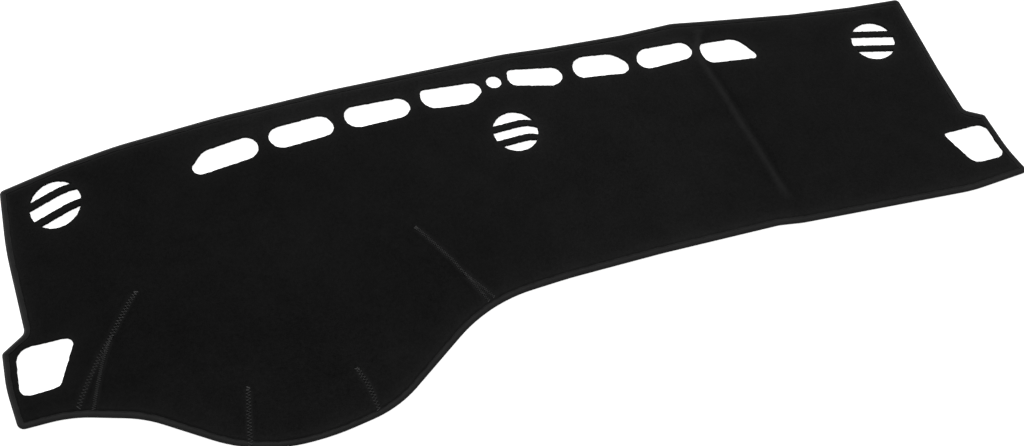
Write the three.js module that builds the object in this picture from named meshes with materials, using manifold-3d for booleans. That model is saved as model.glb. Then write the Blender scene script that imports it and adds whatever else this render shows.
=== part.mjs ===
// Dashboard cover mat: one cut sheet of black carpet laminate, its outer edge bound with folded tape.
// Millimetres. X runs to the right end of the mat, Y to its rear edge at the windscreen, and Z is up.
// The mat lies face up on a floor at Z = 0, and the frame's origin is under the middle of its box.
import * as THREE from 'three';
import { mergeVertices } from 'three/addons/utils/BufferGeometryUtils.js';
import Module from 'manifold-3d';

// The mat from its middle: half its length over the ears, and its reach to the rear edge, the front edge
// and the front of the hood
const halfLength = 700;
const rearReach = 247;
const frontReach = 121.5;
const hoodReach = 247;

// The sheet, and the tape folded round its edge
const sheetThickness = 4.5;
const tapeWidth = 8.5;
const tapeThickness = 0.7;
const boundEdgeHeight = 4.1;
const clearance = 0.3;
const shoulderWidth = 2;
const shoulderDrop = 0.5;

// The soft form: a dome over the instrument hood, sewn darts and a crease from storage
const hoodCentreX = 330 - halfLength;
const hoodCentreY = 188.5 - hoodReach;
const hoodHalfWidth = 260;
const hoodHalfDepth = 170;
const hoodRise = 12;
const creaseHalfWidth = 13;
const creaseRise = 4;
const weltHalfWidth = 9;
const weltSpacing = 8;
const weltRise = 1.5;
const seamSink = 0.6;
const foldFade = 14;

// Round grilles, cut by hand: a slightly leaning oval, crossed by two bars whose right ends droop
const grilleBarWidth = 9;
const grilles = [
  {
    x: 95 - halfLength, y: rearReach - 91.5, halfWidth: 34.5, halfDepth: 34,
    lean: 0.14, tilt: 22, barSpacing: 27.5, barShift: 1, droop: 5.5,
  },
  {
    x: 6.5, y: rearReach - 131.5, halfWidth: 32, halfDepth: 33.5,
    lean: 0, tilt: 3, barSpacing: 24.5, barShift: -1, droop: 9,
  },
  {
    x: halfLength - 114, y: rearReach - 110, halfWidth: 35, halfDepth: 35,
    lean: 0.08, tilt: -12, barSpacing: 26.5, barShift: -0.5, droop: 0,
  },
];

// Round window for the light sensor, between the middle slots
const windowX = 4;
const windowY = rearReach - 43.5;
const windowRadius = 11.5;

// Points drawn from a place of their own, moved there as one; a corner's radius goes with it
function movedTo(x, y, points) {
  return points.map(([pointX, pointY, ...radius]) => [pointX + x, pointY + y, ...radius]);
}

// Corners are X, Y and the radius that rounds them, counterclockwise round the mat and round each opening
const hoodEdge = movedTo(-halfLength, -hoodReach, [
  [145, 83, 150],
  [263.5, 0, 195],
  [354.5, 0, 300],
  [436, 13, 150],
]);
const hoodFlank = movedTo(-halfLength, -frontReach, [[586, -7, 215]]);
const frontEdge = movedTo(0, -frontReach, [
  [0, 0, 600],
  [133, 2, 600],
  [307, 0, 60],
  [341, -5, 60],
]);
const rightEar = movedTo(halfLength, -frontReach, [
  [-94.5, -21, 250],
  [1.5, -13.5, 8],
  [-8.5, 29, 200],
  [-12, 92, 5],
  [-38.5, 107.5, 10],
  [-40, 183, 600],
]);
const rearRight = movedTo(halfLength, rearReach, [
  [-37, -45.5, 7],
  [-121, -41.5, 200],
  [-217, -32.5, 200],
]);
const rearEdge = movedTo(0, rearReach, [
  [344, -13, 100],
  [295, -5.5, 60],
  [212.5, -8, 300],
  [96, -4, 300],
  [32, 0.5, 300],
  [-227.5, -1, 800],
  [-377, -8, 600],
]);
const rearLeft = movedTo(-halfLength, rearReach, [
  [183, -21.5, 400],
  [111.5, -34.5, 200],
  [31.5, -55, 7],
]);
const leftEar = movedTo(-halfLength, -frontReach, [
  [26.5, 227, 500],
  [31, 105.5, 10],
  [1.5, 85, 6],
  [-0.5, 39, 200],
  [5.5, -17.5, 9],
  [64.5, -17, 150],
]);
const outline = [
  ...hoodEdge, ...hoodFlank, ...frontEdge, ...rightEar, ...rearRight, ...rearEdge, ...rearLeft, ...leftEar,
];

// Windscreen vent slots from left to right, each from its front left corner
const ventSlots = [
  [[-448, -98.5, 12], [-343.5, -84.5, 22], [-325.5, -43.5, 20], [-410, -56.5, 26]],
  [[-311, -80.5, 19], [-226.5, -73.5, 16], [-238, -37.5, 19], [-339, -44.5, 18]],
  [[-239, -74, 21], [-134, -71, 20], [-94, -37, 17], [-206.5, -34.5, 13]],
  [[-120.5, -65.5, 22], [-37, -72, 26], [7.5, -38, 14], [-99.5, -31, 5]],
  [[22, -55.5, 14], [91, -72.5, 20], [122, -43, 16], [28, -26, 8]],
  [[126.5, -68, 13], [228, -80.5, 15], [187.5, -36, 25], [107.5, -25, 24]],
  [[198.5, -79.5, 17], [296, -73, 19], [335.5, -41, 19], [230.5, -38.5, 19]],
  [[315.5, -88, 19], [406, -98, 8], [380.5, -53, 25], [316, -49.5, 17]],
].map((corners) => movedTo(0, rearReach, corners));

// Side vent openings in the two ears
const sideVents = [
  movedTo(-halfLength, -frontReach, [[12.5, 21, 13], [60, 23.5, 12], [89, 87, 10], [16.5, 87.5, 19]]),
  movedTo(halfLength, -frontReach, [[-71, 18.5, 19], [-14, 19.5, 15], [-21, 80, 15], [-93, 78.5, 6]]),
];

// Folds from left to right, each from its rear end to its front end; all but the last are sewn darts
const darts = [
  movedTo(-halfLength, -frontReach, [[167, 124], [126, 70], [83, -4]]),
  movedTo(-halfLength, -hoodReach, [[271, 82.5], [256, 13.5]]),
  movedTo(-halfLength, -hoodReach, [[400, 73.5], [409, 14.5]]),
  movedTo(-halfLength, -frontReach, [[527, 122], [557, 60], [588, 6]]),
];
const crease = [[312, rearReach - 20.5], [340, 11.5 - frontReach]];

// Fineness of the faceted form
const chordError = 0.5;
const tightestBend = 0.3;
const arcShare = 0.98;
const noseSteps = 4;
const channelSteps = 2;
const grilleSteps = 12;
const endSearches = 30;
const gridMargin = 30;
const gridRows = [228, 170, 110, 60, 10, -25, -60, -95, -130, -165, -195, -220, -245];
const fillSpacing = 70;
const cutterHeight = 80;

// Insets from the outer edge: the sheet's tongue ends in the tape, and its shoulder starts behind it
const noseRadius = boundEdgeHeight / 2;
const shoulderInset = tapeWidth + clearance;
const fullInset = shoulderInset + shoulderWidth;
const rimInset = fullInset + shoulderWidth;
const edgeMiddle = sheetThickness / 2;

// Reach of the grid that the soft form is laid out on, past the mat on every side
const gridReachX = halfLength + gridMargin;
const gridReachY = Math.max(rearReach, hoodReach) + gridMargin;

const wasm = await Module();
wasm.setup();

// Arc points about a centre, from one angle to another, ends included
function arcPoints(x, y, radius, from, to, steps) {
  return Array.from({ length: steps + 1 }, (_, k) => {
    const angle = from + ((to - from) * k) / steps;
    return new THREE.Vector2(x + radius * Math.cos(angle), y + radius * Math.sin(angle));
  });
}

// Steps that keep an arc's chords within the chord error
function arcSteps(radius, turn) {
  return Math.max(1, Math.ceil(Math.abs(turn) / (2 * Math.acos(1 - chordError / radius))));
}

// Corners with their directions and turns, their radii eased where two arcs would meet on an edge
function fittedCorners(corners) {
  const points = corners.map(([x, y]) => new THREE.Vector2(x, y));
  const edges = points.map((point, i) => points[(i + 1) % points.length].clone().sub(point));
  const fitted = corners.map(([, , radius], i) => {
    const before = edges.at(i - 1).clone().normalize();
    const after = edges[i].clone().normalize();
    const turn = Math.atan2(before.cross(after), before.dot(after));
    return { point: points[i], before, after, turn, radius, tangent: radius * Math.tan(Math.abs(turn) / 2) };
  });
  const ease = edges.map((edge, i) => {
    const tangents = fitted[i].tangent + fitted[(i + 1) % fitted.length].tangent;
    return Math.min(1, (arcShare * edge.length()) / tangents);
  });
  return fitted.map((corner, i) => ({ ...corner, radius: corner.radius * Math.min(ease.at(i - 1), ease[i]) }));
}

// A loop through rounded corners, moved inwards by the inset, with as many points at every inset
function roundedLoop(corners, inset = 0) {
  return fittedCorners(corners).flatMap(({ point, before, after, turn, radius }) => {
    const side = Math.sign(turn);
    const bend = Math.max(radius - side * inset, tightestBend);
    const inward = new THREE.Vector2(-before.y - after.y, before.x + after.x).normalize();
    const centre = inward.multiplyScalar((inset + side * bend) / Math.cos(turn / 2)).add(point);
    const start = Math.atan2(-side * before.x, side * before.y);
    return arcPoints(centre.x, centre.y, bend, start, start + turn, arcSteps(radius, turn));
  });
}

function indexedGeometry(positions, indices) {
  const geometry = new THREE.BufferGeometry();
  geometry.setAttribute('position', new THREE.Float32BufferAttribute(positions, 3));
  geometry.setIndex(indices);
  return geometry;
}

// A closed geometry as a solid that can be joined and cut
function solidOf(geometry) {
  geometry.deleteAttribute('normal');
  geometry.deleteAttribute('uv');
  const merged = mergeVertices(geometry);
  return new wasm.Manifold(new wasm.Mesh({
    numProp: 3,
    vertProperties: new Float32Array(merged.attributes.position.array),
    triVerts: new Uint32Array(merged.index.array),
  }));
}

// A cut or joined solid as a geometry again
function geometryOf(solid) {
  const { vertProperties, triVerts } = solid.getMesh();
  return indexedGeometry(Array.from(vertProperties), Array.from(triVerts));
}

// A closed section of inset and height points, counterclockwise, carried once round the outline
function edgeRing(section) {
  const loops = section.map(({ x }) => roundedLoop(outline, x));
  const stations = loops[0].length;
  const positions = loops.flatMap((loop, j) => loop.flatMap(({ x, y }) => [x, y, section[j].y]));
  const indices = [];
  section.forEach((_, j) => {
    const next = (j + 1) % section.length;
    for (let s = 0; s < stations; s += 1) {
      const ahead = (s + 1) % stations;
      const [a, b] = [j * stations + s, next * stations + s];
      const [c, d] = [next * stations + ahead, j * stations + ahead];
      indices.push(a, b, c, a, c, d);
    }
  });
  return indexedGeometry(positions, indices);
}

// The tape: a U of constant thickness whose round nose is the mat's outer edge
function tapeSection() {
  const lowFace = edgeMiddle - noseRadius;
  const highFace = edgeMiddle + noseRadius;
  const channelRadius = noseRadius - tapeThickness;
  return [
    new THREE.Vector2(tapeWidth, lowFace),
    new THREE.Vector2(tapeWidth, lowFace + tapeThickness),
    ...arcPoints(noseRadius, edgeMiddle, channelRadius, 1.5 * Math.PI, 0.5 * Math.PI, channelSteps),
    new THREE.Vector2(tapeWidth, highFace - tapeThickness),
    new THREE.Vector2(tapeWidth, highFace),
    ...arcPoints(noseRadius, edgeMiddle, noseRadius, 0.5 * Math.PI, 1.5 * Math.PI, noseSteps),
  ];
}

// The sheet's rim: a thin pressed tongue inside the tape, and shoulders that swell to full thickness
function rimSection() {
  const tongueRadius = noseRadius - tapeThickness - clearance;
  return [
    new THREE.Vector2(shoulderInset, edgeMiddle - tongueRadius),
    new THREE.Vector2(shoulderInset, shoulderDrop),
    new THREE.Vector2(fullInset, 0),
    new THREE.Vector2(rimInset, 0),
    new THREE.Vector2(rimInset, sheetThickness),
    new THREE.Vector2(fullInset, sheetThickness),
    new THREE.Vector2(shoulderInset, sheetThickness - shoulderDrop),
    new THREE.Vector2(shoulderInset, edgeMiddle + tongueRadius),
    ...arcPoints(noseRadius, edgeMiddle, tongueRadius, 0.5 * Math.PI, 1.5 * Math.PI, channelSteps),
  ];
}

// Sections across the folds: offset from the fold's line, and height there
const dartSection = [
  { offset: -weltHalfWidth, height: 0 },
  { offset: -weltSpacing / 2, height: weltRise },
  { offset: 0, height: -seamSink },
  { offset: weltSpacing / 2, height: weltRise },
  { offset: weltHalfWidth, height: 0 },
];
const creaseSection = [-1, -0.5, 0, 0.5, 1].map((share) => (
  { offset: share * creaseHalfWidth, height: creaseRise * Math.cos((share * Math.PI) / 2) ** 2 }));
const folds = [
  ...darts.map((path) => ({ path, section: dartSection })),
  { path: crease, section: creaseSection },
];

// X of a fold's line at Y: upright behind its rear end, and straight on past its front end
function foldX(path, y) {
  const k = path.slice(1, -1).filter((point) => y < point[1]).length;
  const [[x0, y0], [x1, y1]] = [path[k], path[k + 1]];
  return x0 + (x1 - x0) * Math.max(0, (y - y0) / (y1 - y0));
}

// Share of a fold's height that stands at Y, as it fades out towards both its ends
function foldStrength(path, y) {
  const room = Math.min(path[0][1] - y, y - path[path.length - 1][1]);
  return THREE.MathUtils.clamp(room / foldFade, 0, 1);
}

// Height of the hood's dome over the floor
function hoodHeight(x, y) {
  const reach = ((x - hoodCentreX) / hoodHalfWidth) ** 2 + ((y - hoodCentreY) / hoodHalfDepth) ** 2;
  return hoodRise * Math.max(0, 1 - reach) ** 2;
}

// One row of the grid: the points across every fold, and even fills between the folds
function gridRow(y) {
  const row = [{ x: -gridReachX, height: 0 }];
  const fillTo = (end, cells) => {
    const start = row[row.length - 1].x;
    for (let k = 1; k < cells; k += 1) row.push({ x: start + ((end - start) * k) / cells, height: 0 });
  };
  let rear = -gridReachX;
  folds.forEach(({ path, section }) => {
    const line = foldX(path, y);
    const strength = foldStrength(path, y);
    fillTo(line + section[0].offset, Math.ceil((path[0][0] - rear) / fillSpacing));
    section.forEach(({ offset, height }) => row.push({ x: line + offset, height: height * strength }));
    [[rear]] = path;
  });
  fillTo(gridReachX, Math.ceil((gridReachX - rear) / fillSpacing));
  row.push({ x: gridReachX, height: 0 });
  return row.map(({ x, height }) => new THREE.Vector3(x, y, height + hoodHeight(x, y)));
}

// The sheet before it is cut: a slab over the grid, pressed thinner where a seam would sink into the floor
function sheetSlab() {
  const rows = [gridReachY, ...gridRows, -gridReachY].map(gridRow);
  const [depth, width] = [rows.length, rows[0].length];
  const points = rows.flat();
  const layer = points.length;
  const underside = points.flatMap(({ x, y, z }) => [x, y, Math.max(0, z)]);
  const pile = points.flatMap(({ x, y, z }) => [x, y, z + sheetThickness]);
  const indices = [];
  const quad = (a, b, c, d) => indices.push(a, b, c, a, c, d);
  for (let r = 0; r + 1 < depth; r += 1) {
    for (let c = 0; c + 1 < width; c += 1) {
      const [a, b] = [r * width + c, r * width + c + 1];
      quad(a, b, b + width, a + width);
      quad(layer + a, layer + a + width, layer + b + width, layer + b);
    }
    const [left, right] = [r * width, (r + 1) * width - 1];
    quad(left, left + width, layer + left + width, layer + left);
    quad(right, layer + right, layer + right + width, right + width);
  }
  for (let c = 0; c + 1 < width; c += 1) {
    const front = (depth - 1) * width + c;
    quad(c, layer + c, layer + c + 1, c + 1);
    quad(front, front + 1, layer + front + 1, layer + front);
  }
  return solidOf(indexedGeometry([...underside, ...pile], indices));
}

// One opening of a grille: what lies inside its oval between a lower and an upper edge
function grilleOpening({ x, y, halfWidth, halfDepth, lean, tilt }, low, high) {
  const rim = (across) => halfDepth * Math.sqrt(Math.max(0, 1 - (across / halfWidth) ** 2));
  const under = (across) => Math.max(low(across), lean * across - rim(across));
  const over = (across) => Math.min(high(across), lean * across + rim(across));
  const endOf = (limit) => {
    let [open, shut] = [0, limit];
    for (let k = 0; k < endSearches; k += 1) {
      const middle = (open + shut) / 2;
      if (over(middle) > under(middle)) open = middle;
      else shut = middle;
    }
    return open;
  };
  const [left, right] = [endOf(-halfWidth), endOf(halfWidth)];
  const stations = Array.from({ length: grilleSteps + 1 }, (_, k) => (
    (left + right - (right - left) * Math.cos((k / grilleSteps) * Math.PI)) / 2));
  const loop = [
    ...stations.map((across) => new THREE.Vector2(across, under(across))),
    ...stations.slice(1, -1).reverse().map((across) => new THREE.Vector2(across, over(across))),
  ];
  const turn = THREE.MathUtils.degToRad(tilt);
  return loop.map((point) => point.rotateAround(new THREE.Vector2(), turn).add(new THREE.Vector2(x, y)));
}

// The three openings of a grille: what its two bars leave of the oval
function grilleOpenings(grille) {
  const { halfWidth, barSpacing, barShift, droop } = grille;
  const edge = (height) => (across) => height + barShift - droop * Math.max(0, across / halfWidth) ** 3;
  const [near, far] = [(barSpacing - grilleBarWidth) / 2, (barSpacing + grilleBarWidth) / 2];
  return [
    grilleOpening(grille, edge(far), () => Infinity),
    grilleOpening(grille, edge(-near), edge(near)),
    grilleOpening(grille, () => -Infinity, edge(-far)),
  ];
}

// Loops of every opening in the sheet
function openingLoops() {
  const windowSteps = arcSteps(windowRadius, 2 * Math.PI);
  return [
    ...ventSlots.map((corners) => roundedLoop(corners)),
    ...sideVents.map((corners) => roundedLoop(corners)),
    ...grilles.flatMap(grilleOpenings),
    arcPoints(windowX, windowY, windowRadius, 0, 2 * Math.PI, windowSteps).slice(1),
  ];
}

// An upright cutter whose plan is the loop
function uprightCutter(loop) {
  const geometry = new THREE.ExtrudeGeometry(new THREE.Shape(loop), { depth: cutterHeight, bevelEnabled: false });
  return solidOf(geometry.translate(0, 0, -cutterHeight / 2));
}

// The whole sheet: the soft slab inside the rim, joined to the rim, then pierced by the openings
function sheetSolid() {
  const field = sheetSlab().intersect(uprightCutter(roundedLoop(outline, fullInset)));
  const whole = field.add(solidOf(edgeRing(rimSection())));
  return openingLoops().reduce((sheet, loop) => sheet.subtract(uprightCutter(loop)), whole);
}

const carpet = new THREE.MeshStandardMaterial({ color: 0x161617, roughness: 0.97, metalness: 0 });
const tape = new THREE.MeshStandardMaterial({ color: 0x2a2a2b, roughness: 0.88, metalness: 0 });

const panel = new THREE.Mesh(geometryOf(sheetSolid()), carpet);
panel.name = 'mat_panel';

const binding = new THREE.Mesh(edgeRing(tapeSection()), tape);
binding.name = 'edge_binding';

const group = new THREE.Group();
group.add(panel, binding);

export default group;
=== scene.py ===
"""Dashboard cover mat: a sheet of black velour carpet whose outer edge is bound with folded tape.

The mat lies face up on a pale studio floor. X runs to its right end, Y to its rear edge at the
windscreen, and Z is up. The plan is drawn in millimetres and made into meshes in metres.
"""
import logging
import math
from dataclasses import dataclass, field
from enum import Enum
from typing import Iterable, Sequence

import bpy
import numpy as np
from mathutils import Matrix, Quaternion, Vector
from mathutils.geometry import delaunay_2d_cdt


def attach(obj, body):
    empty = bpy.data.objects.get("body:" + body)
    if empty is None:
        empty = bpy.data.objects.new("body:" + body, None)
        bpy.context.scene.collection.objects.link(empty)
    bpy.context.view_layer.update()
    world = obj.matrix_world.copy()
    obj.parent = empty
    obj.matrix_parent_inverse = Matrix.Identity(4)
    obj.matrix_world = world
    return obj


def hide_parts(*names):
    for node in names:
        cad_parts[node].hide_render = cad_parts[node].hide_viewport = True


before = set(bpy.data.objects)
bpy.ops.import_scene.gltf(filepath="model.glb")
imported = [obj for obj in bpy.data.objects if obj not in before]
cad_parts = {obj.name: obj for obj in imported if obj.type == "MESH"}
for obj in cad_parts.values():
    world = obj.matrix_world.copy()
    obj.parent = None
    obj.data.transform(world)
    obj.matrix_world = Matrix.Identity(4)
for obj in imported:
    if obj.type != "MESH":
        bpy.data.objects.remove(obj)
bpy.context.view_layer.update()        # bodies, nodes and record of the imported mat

log = logging.getLogger("dashboard_mat")

MM = 0.001
BODY = "root"
IMAGE_WIDTH = 1024

Corner = tuple[float, float, float]
Point = tuple[float, float]
Colour = tuple[float, float, float]


class Slot(Enum):
    """The record's material slots."""

    CARPET = "carpet"
    TAPE = "tape"
    THREAD = "thread"


class Seam(Enum):
    """The two ways in which thread is laid along a path."""

    LOCK = "lock_stitches"
    ZIGZAG = "zigzag_stitches"


def moved_to(x: float, y: float, points: Iterable[Sequence[float]]) -> list[tuple[float, ...]]:
    """Moves points as one; a corner's radius goes with it.

    Args:
        x: Move along X, in millimetres.
        y: Move along Y, in millimetres.
        points: Points of X, Y and, for a corner, its radius.

    Returns:
        The moved points.
    """
    return [(px + x, py + y, *radius) for px, py, *radius in points]


@dataclass(frozen=True)
class Grille:
    """A round grille, cut by hand: an oval crossed by two bars that droop at the right.

    The oval's upper and lower rim rise by lean for each millimetre across it, the whole grille is
    turned clockwise by tilt in degrees, and bar_shift moves both bars up.
    """

    x: float
    y: float
    half_width: float
    half_depth: float
    lean: float
    tilt: float
    bar_spacing: float
    bar_shift: float
    droop: float
    bar_width: float = 9.0
    stations: int = 40
    samples: int = 4001

    def rim(self, across: np.ndarray) -> np.ndarray:
        """Half the oval's chord at a distance across the grille."""
        return self.half_depth * np.sqrt(np.maximum(0, 1 - (across / self.half_width) ** 2))

    def bar_edge(self, across: np.ndarray, height: float) -> np.ndarray:
        """Height of a bar's edge at a distance across the grille."""
        return height + self.bar_shift - self.droop * np.maximum(0, across / self.half_width) ** 3

    def opening(self, low: float, high: float) -> np.ndarray:
        """What lies inside the oval between two bar edges.

        Args:
            low: Height of the lower edge over the oval's middle, minus infinity for none.
            high: Height of the upper edge over the oval's middle, infinity for none.

        Returns:
            The opening's loop, counterclockwise, in the mat's plan.
        """
        across = self.half_width * np.linspace(-1, 1, self.samples)
        under = np.maximum(self.bar_edge(across, low), self.lean * across - self.rim(across))
        over = np.minimum(self.bar_edge(across, high), self.lean * across + self.rim(across))
        open_part = across[over > under]
        left, right = open_part[0], open_part[-1]
        steps = (left + right - (right - left) * np.cos(np.linspace(0, math.pi, self.stations))) / 2
        lower = np.column_stack([steps, np.interp(steps, across, under)])
        upper = np.column_stack([steps, np.interp(steps, across, over)])[-2:0:-1]
        loop = np.vstack([lower, upper])
        turn = math.radians(self.tilt)
        spin = np.array([[math.cos(turn), math.sin(turn)], [-math.sin(turn), math.cos(turn)]])
        return loop @ spin + (self.x, self.y)

    def openings(self) -> list[np.ndarray]:
        """The rear, the middle and the front opening."""
        near, far = (self.bar_spacing - self.bar_width) / 2, (self.bar_spacing + self.bar_width) / 2
        return [self.opening(far, math.inf), self.opening(-near, near), self.opening(-math.inf, -far)]


@dataclass(frozen=True)
class MatPlan:
    """The mat's plan: reaches from its middle, and the corners of its edge and of its openings."""

    half_length: float = 700.0
    rear_reach: float = 247.0
    front_reach: float = 121.5
    hood_reach: float = 247.0
    window: Corner = (4.0, 203.5, 11.5)
    chord_error: float = 0.06
    tightest_bend: float = 0.6
    arc_share: float = 0.98
    tape_front_stops: tuple[Point, ...] = (
        (-700, 0.86), (-600, 0.94), (-480, 0.84), (-330, 0.76), (-180, 0.90), (60, 1.02), (700, 1.06))
    tape_front_end: float = 60.0
    tape_rear_share: float = 0.9

    @property
    def outline(self) -> list[Corner]:
        """Corners of the outer edge, counterclockwise from the hood's left flank."""
        half, rear, front, hood = self.half_length, self.rear_reach, self.front_reach, self.hood_reach
        return [
            *moved_to(-half, -hood, [(145, 83, 150), (263.5, 0, 195), (354.5, 0, 300), (436, 13, 150)]),
            *moved_to(-half, -front, [(586, -7, 215)]),
            *moved_to(0, -front, [(0, 0, 600), (133, 2, 600), (307, 0, 60), (341, -5, 60)]),
            *moved_to(half, -front, [
                (-94.5, -21, 250), (1.5, -13.5, 8), (-8.5, 29, 200),
                (-12, 92, 5), (-38.5, 107.5, 10), (-40, 183, 600)]),
            *moved_to(half, rear, [(-37, -45.5, 7), (-121, -41.5, 200), (-217, -32.5, 200)]),
            *moved_to(0, rear, [
                (344, -13, 100), (295, -5.5, 60), (212.5, -8, 300), (96, -4, 300),
                (32, 0.5, 300), (-227.5, -1, 800), (-377, -8, 600)]),
            *moved_to(-half, rear, [(183, -21.5, 400), (111.5, -34.5, 200), (31.5, -55, 7)]),
            *moved_to(-half, -front, [
                (26.5, 227, 500), (31, 105.5, 10), (1.5, 85, 6),
                (-0.5, 39, 200), (5.5, -17.5, 9), (64.5, -17, 150)]),
        ]

    @property
    def cornered_openings(self) -> list[list[Corner]]:
        """Corners of the windscreen vent slots and of the two side vents, counterclockwise."""
        half, rear, front = self.half_length, self.rear_reach, self.front_reach
        slots = [
            [(-448, -98.5, 12), (-343.5, -84.5, 22), (-325.5, -43.5, 20), (-410, -56.5, 26)],
            [(-311, -80.5, 19), (-226.5, -73.5, 16), (-238, -37.5, 19), (-339, -44.5, 18)],
            [(-239, -74, 21), (-134, -71, 20), (-94, -37, 17), (-206.5, -34.5, 13)],
            [(-120.5, -65.5, 22), (-37, -72, 26), (7.5, -38, 14), (-99.5, -31, 5)],
            [(22, -55.5, 14), (91, -72.5, 20), (122, -43, 16), (28, -26, 8)],
            [(126.5, -68, 13), (228, -80.5, 15), (187.5, -36, 25), (107.5, -25, 24)],
            [(198.5, -79.5, 17), (296, -73, 19), (335.5, -41, 19), (230.5, -38.5, 19)],
            [(315.5, -88, 19), (406, -98, 8), (380.5, -53, 25), (316, -49.5, 17)],
        ]
        return [
            *(moved_to(0, rear, corners) for corners in slots),
            moved_to(-half, -front, [(12.5, 21, 13), (60, 23.5, 12), (89, 87, 10), (16.5, 87.5, 19)]),
            moved_to(half, -front, [(-71, 18.5, 19), (-14, 19.5, 15), (-21, 80, 15), (-93, 78.5, 6)]),
        ]

    @property
    def grilles(self) -> list[Grille]:
        """The round grilles, from left to right."""
        return [
            Grille(95 - self.half_length, self.rear_reach - 91.5, 34.5, 34, 0.14, 22, 27.5, 1, 5.5),
            Grille(6.5, self.rear_reach - 131.5, 32, 33.5, 0, 3, 24.5, -1, 9),
            Grille(self.half_length - 114, self.rear_reach - 110, 35, 35, 0.08, -12, 26.5, -0.5, 0),
        ]

    def arc_steps(self, radius: float, turn: float) -> int:
        """Steps that keep an arc's chords within the chord error."""
        return max(1, math.ceil(abs(turn) / (2 * math.acos(1 - self.chord_error / max(radius, 1)))))

    def arc(self, centre: Point, radius: float, start: float, turn: float, steps: int) -> np.ndarray:
        """Points along an arc, both ends included."""
        angles = start + turn * np.arange(steps + 1) / steps
        return np.column_stack([centre[0] + radius * np.cos(angles), centre[1] + radius * np.sin(angles)])

    def rounded(self, corners: Sequence[Corner], inset: float = 0.0) -> np.ndarray:
        """A loop through rounded corners, moved inwards, with as many points at every inset.

        Args:
            corners: X, Y and radius of each corner, counterclockwise.
            inset: Distance that the loop is moved to its left, in millimetres.

        Returns:
            The loop's points, one row each.
        """
        data = np.array(corners, float)
        points, radii = data[:, :2], data[:, 2]
        edges = np.roll(points, -1, axis=0) - points
        lengths = np.hypot(*edges.T)
        after = edges / lengths[:, None]
        before = np.roll(after, 1, axis=0)
        turns = np.arctan2(
            before[:, 0] * after[:, 1] - before[:, 1] * after[:, 0], (before * after).sum(axis=1))
        tangents = radii * np.tan(np.abs(turns) / 2)
        ease = np.minimum(1, self.arc_share * lengths / (tangents + np.roll(tangents, -1)))
        radii = radii * np.minimum(np.roll(ease, 1), ease)
        arcs = []
        for point, ahead, behind, turn, radius in zip(points, after, before, turns, radii):
            side = math.copysign(1, turn)
            bend = max(radius - side * inset, self.tightest_bend)
            inward = np.array([-behind[1] - ahead[1], behind[0] + ahead[0]])
            inward /= np.hypot(*inward)
            centre = point + inward * (inset + side * bend) / math.cos(turn / 2)
            start = math.atan2(-side * behind[0], side * behind[1])
            arcs.append(self.arc(centre, bend, start, turn, self.arc_steps(radius, turn)))
        return np.vstack(arcs)

    def tape_share(self, points: np.ndarray) -> np.ndarray:
        """Share of its full width that the tape shows near each point, narrower round the hood."""
        front = ramp(points[:, 0], self.tape_front_stops)
        return np.where(points[:, 1] < self.tape_front_end, front, self.tape_rear_share)

    def edge_loops(self, insets: Sequence[float], spacing: float) -> list[np.ndarray]:
        """The outer edge at several insets, with matching points about one spacing apart."""
        loops = [self.rounded(self.outline, inset) for inset in insets]
        return spaced(loops, spacing)

    def opening_loops(self, spacing: float) -> list[np.ndarray]:
        """Every opening of the sheet.

        Args:
            spacing: Longest step between points, in millimetres.

        Returns:
            A counterclockwise loop for each opening.
        """
        x, y, radius = self.window
        steps = self.arc_steps(radius, 2 * math.pi)
        loops = [self.rounded(corners) for corners in self.cornered_openings]
        loops += [loop for grille in self.grilles for loop in grille.openings()]
        loops.append(self.arc((x, y), radius, 0, 2 * math.pi, steps)[1:])
        return [spaced([loop], spacing)[0] for loop in loops]


def spaced(loops: list[np.ndarray], spacing: float) -> list[np.ndarray]:
    """Divides the edges of matching loops so that the first one's points are about evenly spaced.

    Args:
        loops: Closed loops with as many points each.
        spacing: Longest edge that stays whole, in millimetres.

    Returns:
        The divided loops, still matching.
    """
    lead = loops[0]
    lengths = np.hypot(*(np.roll(lead, -1, axis=0) - lead).T)
    counts = np.maximum(1, np.ceil(lengths / spacing)).astype(int)
    index = np.repeat(np.arange(len(lead)), counts)
    share = np.concatenate([np.arange(count) / count for count in counts])[:, None]
    return [loop[index] * (1 - share) + np.roll(loop, -1, axis=0)[index] * share for loop in loops]


def curve_through(points: Sequence[Point], spacing: float) -> np.ndarray:
    """A smooth open path through points, with its own points one spacing apart.

    Args:
        points: The points that the path passes, in order.
        spacing: Distance between the path's points, in millimetres.

    Returns:
        The path's points, one row each.
    """
    given = np.array(points, float)
    ends = np.vstack([2 * given[0] - given[1], given, 2 * given[-1] - given[-2]])
    share = np.linspace(0, 1, 24, endpoint=False)[:, None]
    stretches = []
    for a, b, c, d in zip(ends, ends[1:], ends[2:], ends[3:]):
        stretches.append(0.5 * (2 * b + (c - a) * share + (2 * a - 5 * b + 4 * c - d) * share ** 2
                                + (3 * b - a - 3 * c + d) * share ** 3))
    dense = np.vstack([*stretches, given[-1:]])
    travelled = np.concatenate([[0], np.cumsum(np.hypot(*np.diff(dense, axis=0).T))])
    stations = np.linspace(0, travelled[-1], max(2, round(travelled[-1] / spacing) + 1))
    return np.column_stack([np.interp(stations, travelled, dense[:, axis]) for axis in (0, 1)])


def side_directions(path: np.ndarray) -> np.ndarray:
    """Directions square to an open path.

    Args:
        path: The path's points, one row each.

    Returns:
        A unit direction to the path's left for each point.
    """
    along = np.gradient(path, axis=0)
    along /= np.hypot(*along.T)[:, None]
    return np.column_stack([-along[:, 1], along[:, 0]])


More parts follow.
